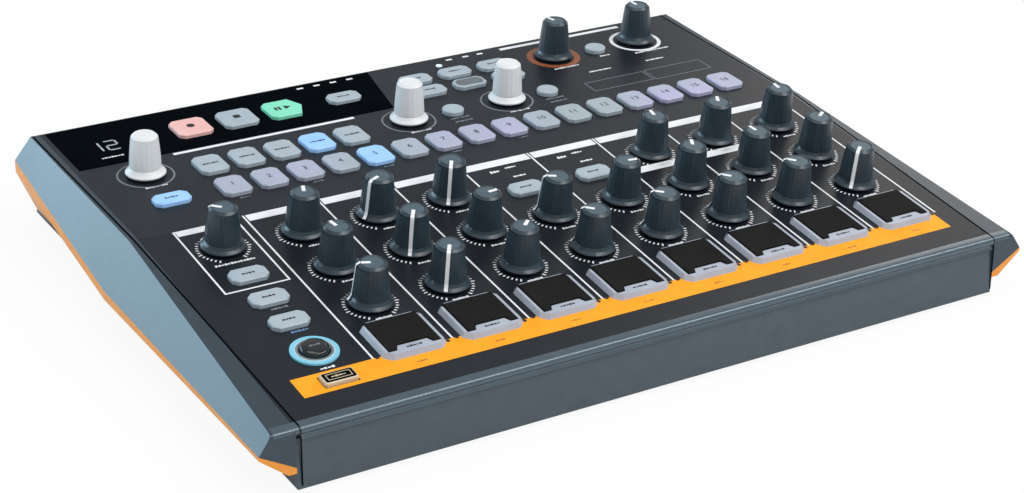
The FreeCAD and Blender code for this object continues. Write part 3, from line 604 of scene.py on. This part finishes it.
def key_marks():
    for i in range(STEPS):
        number("step_number_%d" % (i + 1), str(i + 1), REAR, step_x(i), 23.4, 1.64, 4.0, "dark",
               "step_keys")
    words = key_words("function_words", REAR, "function_keys")
    for i in range(5):
        words.dash(step_x(i), 42.8, 6.5, 1.1, i)
    words.make()
    lit_cover("lit_step", REAR, step_x(4), 23.1, 11.2, 14.2, 1.9, KEY_TOP, "step_keys")
    lit_cover("lit_function", REAR, step_x(3), 43.2, 11.2, 14.2, 1.9, KEY_TOP, "function_keys")
    lit_cover("lit_shift", REAR, *SHIFT_KEY, 14.0, 8.2, 2.0, KEY_TOP, "menu_keys")
    marks = key_words("menu_words", REAR, "menu_keys")
    for x, t in ((120.5, 76.8), SHIFT_KEY, (155.0, 79.8), (173.6, 79.8), (192.2, 79.8), (155.0, 67.5),
                 (192.2, 67.5)):
        marks.dash(x, t, 5.5, 1.0, int(x) % 4)
    marks.make()
    marks = key_words("channel_words", FRONT, "channel_keys")
    for x, s in ((SIDE_X, 86.6), (SIDE_X, 70.4), (SIDE_X, 54.8), (column(4), 100.6), (column(5), 100.6)):
        marks.dash(x, s, 5.0, 1.0, int(s) % 4)
    marks.make()
    for body, x, sign in (("record_key", 54.1, "disc"), ("stop_key", 73.7, "square"),
                          ("play_key", 93.4, "both")):
        marks = key_words(body + "_sign", REAR, body)
        if sign == "disc":
            marks.disc(x, 77.2, 1.6)
        if sign == "square":
            marks.bar(x - 1.4, x + 1.4, 75.8, 78.6)
        if sign == "both":
            marks.bar(x - 3.4, x - 2.4, 75.4, 78.4)
            marks.bar(x - 1.8, x - 0.8, 75.4, 78.4)
            marks.poly([(x + 0.8, 75.2), (x + 3.6, 76.9), (x + 0.8, 78.6)])
        marks.make()


def turned(name, plane, x, s, profile, finish, body, steps=64):
    """A ring or dome turned about the panel's normal from (radius, height) points."""
    bm = bmesh.new()
    m = plane.matrix(x, s)
    angles = [math.tau * i / steps for i in range(steps)]
    rows = []
    for radius, h in profile:
        corners = [(radius * math.cos(a) * MM, radius * math.sin(a) * MM, h * MM) for a in angles]
        rows.append([bm.verts.new(m @ Vector(corner)) for corner in corners])
    join_rows(bm, rows)
    add_piece(name, finished_mesh(bm, name, finish), body)


def rear_wall_dressing():
    """Nickel nuts and collars round the sockets and plain dashes above them."""
    words = Marks("wall_words", WALL, "grey", thick=WORD_THICK)
    nut = [(5.66, 0.1), (5.66, 2.2), (5.4, 2.46), (4.46, 2.46), (4.46, 4.8), (4.2, 5.0), (3.4, 5.0)]
    for i, share in enumerate(JACK_SHARES):
        x = share * BODY_W
        turned("jack_nut_%d" % (i + 1), WALL, x, SOCKET_S, nut, "nickel", "case")
        words.dash(x, SOCKET_S - 9.0, 8.0, 1.2, i)
    collar = [(2.96, 0.1), (2.96, 0.6), (2.8, 0.68), (1.85, 0.68)]
    for i, share in enumerate(MINI_SHARES):
        x = share * BODY_W
        turned("mini_collar_%d" % (i + 1), WALL, x, SOCKET_S, collar, "nickel", "case")
        words.dash(x, SOCKET_S - 6.0, 5.5, 1.1, i)
    for share, width in PORT_SHARES:
        words.dash(share * BODY_W, SOCKET_S - 11.0, width, 1.2, width)
    words.make()


def nose_skin(name, x0, x1, closed):
    """The rolled front edge: a smooth skin round the lip that ends on the front face, lighter than the
    panel and half-metallic, partly a painted highlight on the roll.
    """
    slope = math.radians(FRONT_SLOPE)
    radius, out = NOSE_R, 0.06
    start, end, steps = 95.5, 190, 12
    under_lip = ((-0.72, -2.75), (-0.45, -3.15), (-0.42, -3.5), (-0.70, -3.95), (-0.95, -4.4))
    center_y = -NOSE_OUT + radius
    center_z = FRONT_TOP_Z + center_y * math.tan(slope) - radius / math.cos(slope)
    profile = [FRONT.at(0, 3.4, -0.03), FRONT.at(0, 2.2, 0.05)]
    for k in range(steps + 1):
        a = math.radians(start + (end - start) * k / steps)
        profile.append(ORIGIN + Vector((0, center_y + (radius + out) * math.cos(a),
                                        center_z + (radius + out) * math.sin(a) - FRONT_TOP_Z)) * MM)
    if closed:
        for y, z in under_lip:
            profile.append(ORIGIN + Vector((0, y, z)) * MM)
    bm = bmesh.new()
    rows = [[bm.verts.new(p + Vector((x * MM, 0, 0))) for p in profile] for x in (x0, x1)]
    for i in range(len(profile) - 1):
        bm.faces.new((rows[0][i], rows[0][i + 1], rows[1][i + 1], rows[1][i])).smooth = True
    add_piece(name, finished_mesh(bm, name, "nose"), "case")


def small_dressing():
    collar = [(6.45, 0.3), (6.45, 0.75), (6.2, 0.95), (5.7, 0.95), (5.4, 0.6)]
    inner = [(6.9, 0.72), (6.9, 0.80), (6.45, 0.80)]
    dome = [(4.95, 1.2), (4.95, 1.9), (4.6, 2.35), (3.6, 2.62), (1.8, 2.72), (0.0, 2.74)]
    turned("accent_collar", FRONT, SIDE_X, ACCENT_S, collar, "grey", "case")
    # the pale inner ring is painted glow from the lit accent ring
    turned("accent_inner", FRONT, SIDE_X, ACCENT_S, inner, "mint_glow", "case")
    turned("accent_dome", FRONT, SIDE_X, ACCENT_S, dome, "window", "accent_key")
    marks = Marks("accent_word", FRONT, "grey", body="accent_key", height=2.80, thick=WORD_THICK)
    marks.dash(SIDE_X, ACCENT_S, 4.2, 0.9, 2)
    marks.make()
    lit_cover("bank_face", FRONT, SIDE_X, BANK_S, 11.4, 5.4, 0.5, 1.66, "bank_key", "gloss", 1.4)
    marks = Marks("bank_word", FRONT, "beige", body="bank_key", height=1.72, thick=0.02)
    marks.outline(20.4, 29.2, 16.6, 19.8, 0.28)
    marks.dash(SIDE_X, BANK_S, 5.6, 0.9, 1)
    marks.make()
    lit_cover("dark_menu_face", REAR, *DARK_MENU_KEY, 12.4, 6.6, 1.6, 1.64, "menu_keys", "smoke", 1.4)
    nose_skin("nose_front", 2.0, 288.2, True)
    nose_skin("nose_left", -7.6, 1.3, False)
    nose_skin("nose_right", 288.9, 296.0, False)
    seam = Marks("face_seams", FACE, "gloss", height=0.02, thick=0.02)
    seam.bar(1.4, 1.95, 1.2, 18.6)
    seam.bar(288.2, 288.75, 1.2, 18.6)
    seam.make()
    rear_wall_dressing()


front_prints()
rear_prints()
display()
small_dressing()
knob_trims()
key_marks()


# Camera at the photograph's angle
SENSOR_MM, FOCAL_PX, PHOTO_W, ROLL = 36.0, 2261.0, 1024.0, 1.64
LOOK, CAMERA_AT = (0.4723, 0.7632, -0.4410), (-263.4, -551.6, 363.8)


def make_camera():
    data = bpy.data.cameras.new("camera")
    data.sensor_width = SENSOR_MM
    data.lens = FOCAL_PX * SENSOR_MM / PHOTO_W
    data.clip_start, data.clip_end = 0.01, 20.0
    cam = bpy.data.objects.new("camera", data)
    bpy.context.collection.objects.link(cam)
    look = Vector(LOOK).normalized()
    right = look.cross(Vector((0, 0, 1))).normalized()
    up = right.cross(look)
    roll = math.radians(ROLL)
    x_axis = right * math.cos(roll) + up * math.sin(roll)
    y_axis = -right * math.sin(roll) + up * math.cos(roll)
    place = ORIGIN + Vector(CAMERA_AT) * MM
    m = Matrix.Identity(4)
    for i in range(3):
        m[i][0], m[i][1], m[i][2], m[i][3] = x_axis[i], y_axis[i], -look[i], place[i]
    cam.matrix_world = m
    bpy.context.scene.camera = cam


def make_stage():
    mesh = bpy.data.meshes.new("floor")
    bm = bmesh.new()
    size, back, rise, bend, steps = 4.0, 2.2, 2.0, 0.6, 8
    profile = [(-size, 0.0), (back, 0.0)]
    for k in range(1, steps + 1):
        a = math.radians(90 * k / steps)
        profile.append((back + bend * math.sin(a), bend * (1 - math.cos(a))))
    profile.append((back + bend, rise))
    rows = [[bm.verts.new((x, y, z)) for y, z in profile] for x in (-size, size)]
    for i in range(len(profile) - 1):
        bm.faces.new((rows[0][i], rows[1][i], rows[1][i + 1], rows[0][i + 1]))
    bm.to_mesh(mesh)
    bm.free()
    mat = bpy.data.materials.new("pale_floor")
    mat.use_nodes = True
    tree = mat.node_tree
    tree.nodes.clear()
    out = tree.nodes.new("ShaderNodeOutputMaterial")
    diffuse = tree.nodes.new("ShaderNodeBsdfDiffuse")
    diffuse.inputs["Color"].default_value = (0.86, 0.86, 0.87, 1)
    glow = tree.nodes.new("ShaderNodeEmission")
    glow.inputs["Strength"].default_value = 1.0
    path = tree.nodes.new("ShaderNodeLightPath")
    mix = tree.nodes.new("ShaderNodeMixShader")
    level = tree.nodes.new("ShaderNodeMath")
    level.operation = "MULTIPLY"
    level.inputs[1].default_value = 0.92
    tree.links.new(path.outputs["Is Camera Ray"], level.inputs[0])
    tree.links.new(level.outputs["Value"], mix.inputs["Fac"])
    tree.links.new(diffuse.outputs["BSDF"], mix.inputs[1])
    tree.links.new(glow.outputs["Emission"], mix.inputs[2])
    tree.links.new(mix.outputs["Shader"], out.inputs["Surface"])
    mesh.materials.append(mat)
    floor = bpy.data.objects.new("floor", mesh)
    bpy.context.collection.objects.link(floor)


def area(name, place, target, size, power, tint=(1, 1, 1)):
    light = bpy.data.lights.new(name, "AREA")
    light.color = tint
    light.shape = "RECTANGLE"
    light.size, light.size_y = size
    light.energy = power
    obj = bpy.data.objects.new(name, light)
    obj.location = place
    obj.rotation_mode = "QUATERNION"
    obj.rotation_quaternion = (Vector(target) - Vector(place)).to_track_quat("-Z", "Y")
    bpy.context.collection.objects.link(obj)


def make_lights():
    world = bpy.data.worlds.new("studio")
    bpy.context.scene.world = world
    world.use_nodes = True
    world.node_tree.nodes["Background"].inputs["Color"].default_value = (0.93, 0.96, 1.0, 1)
    world.node_tree.nodes["Background"].inputs["Strength"].default_value = 0.50
    area("top_soft", (-0.3, -0.1, 1.5), (0, 0, 0), (1.0, 1.0), 6.0)
    area("left_back_soft", (-1.05, 1.25, 0.30), (-0.15, 0.0, 0.03), (1.3, 0.5), 13.5, (0.52, 0.81, 1.0))
    area("right_back_soft", (1.15, 0.9, 0.7), (0.14, 0.08, 0.03), (0.5, 0.5), 1.5, (1.0, 0.92, 0.84))
    area("nose_strip", (0.45, -0.75, 1.0), (0, -0.1, 0), (1.6, 0.22), 11.0)


make_camera()
make_stage()
make_lights()
bpy.context.scene.view_settings.view_transform = "Standard"
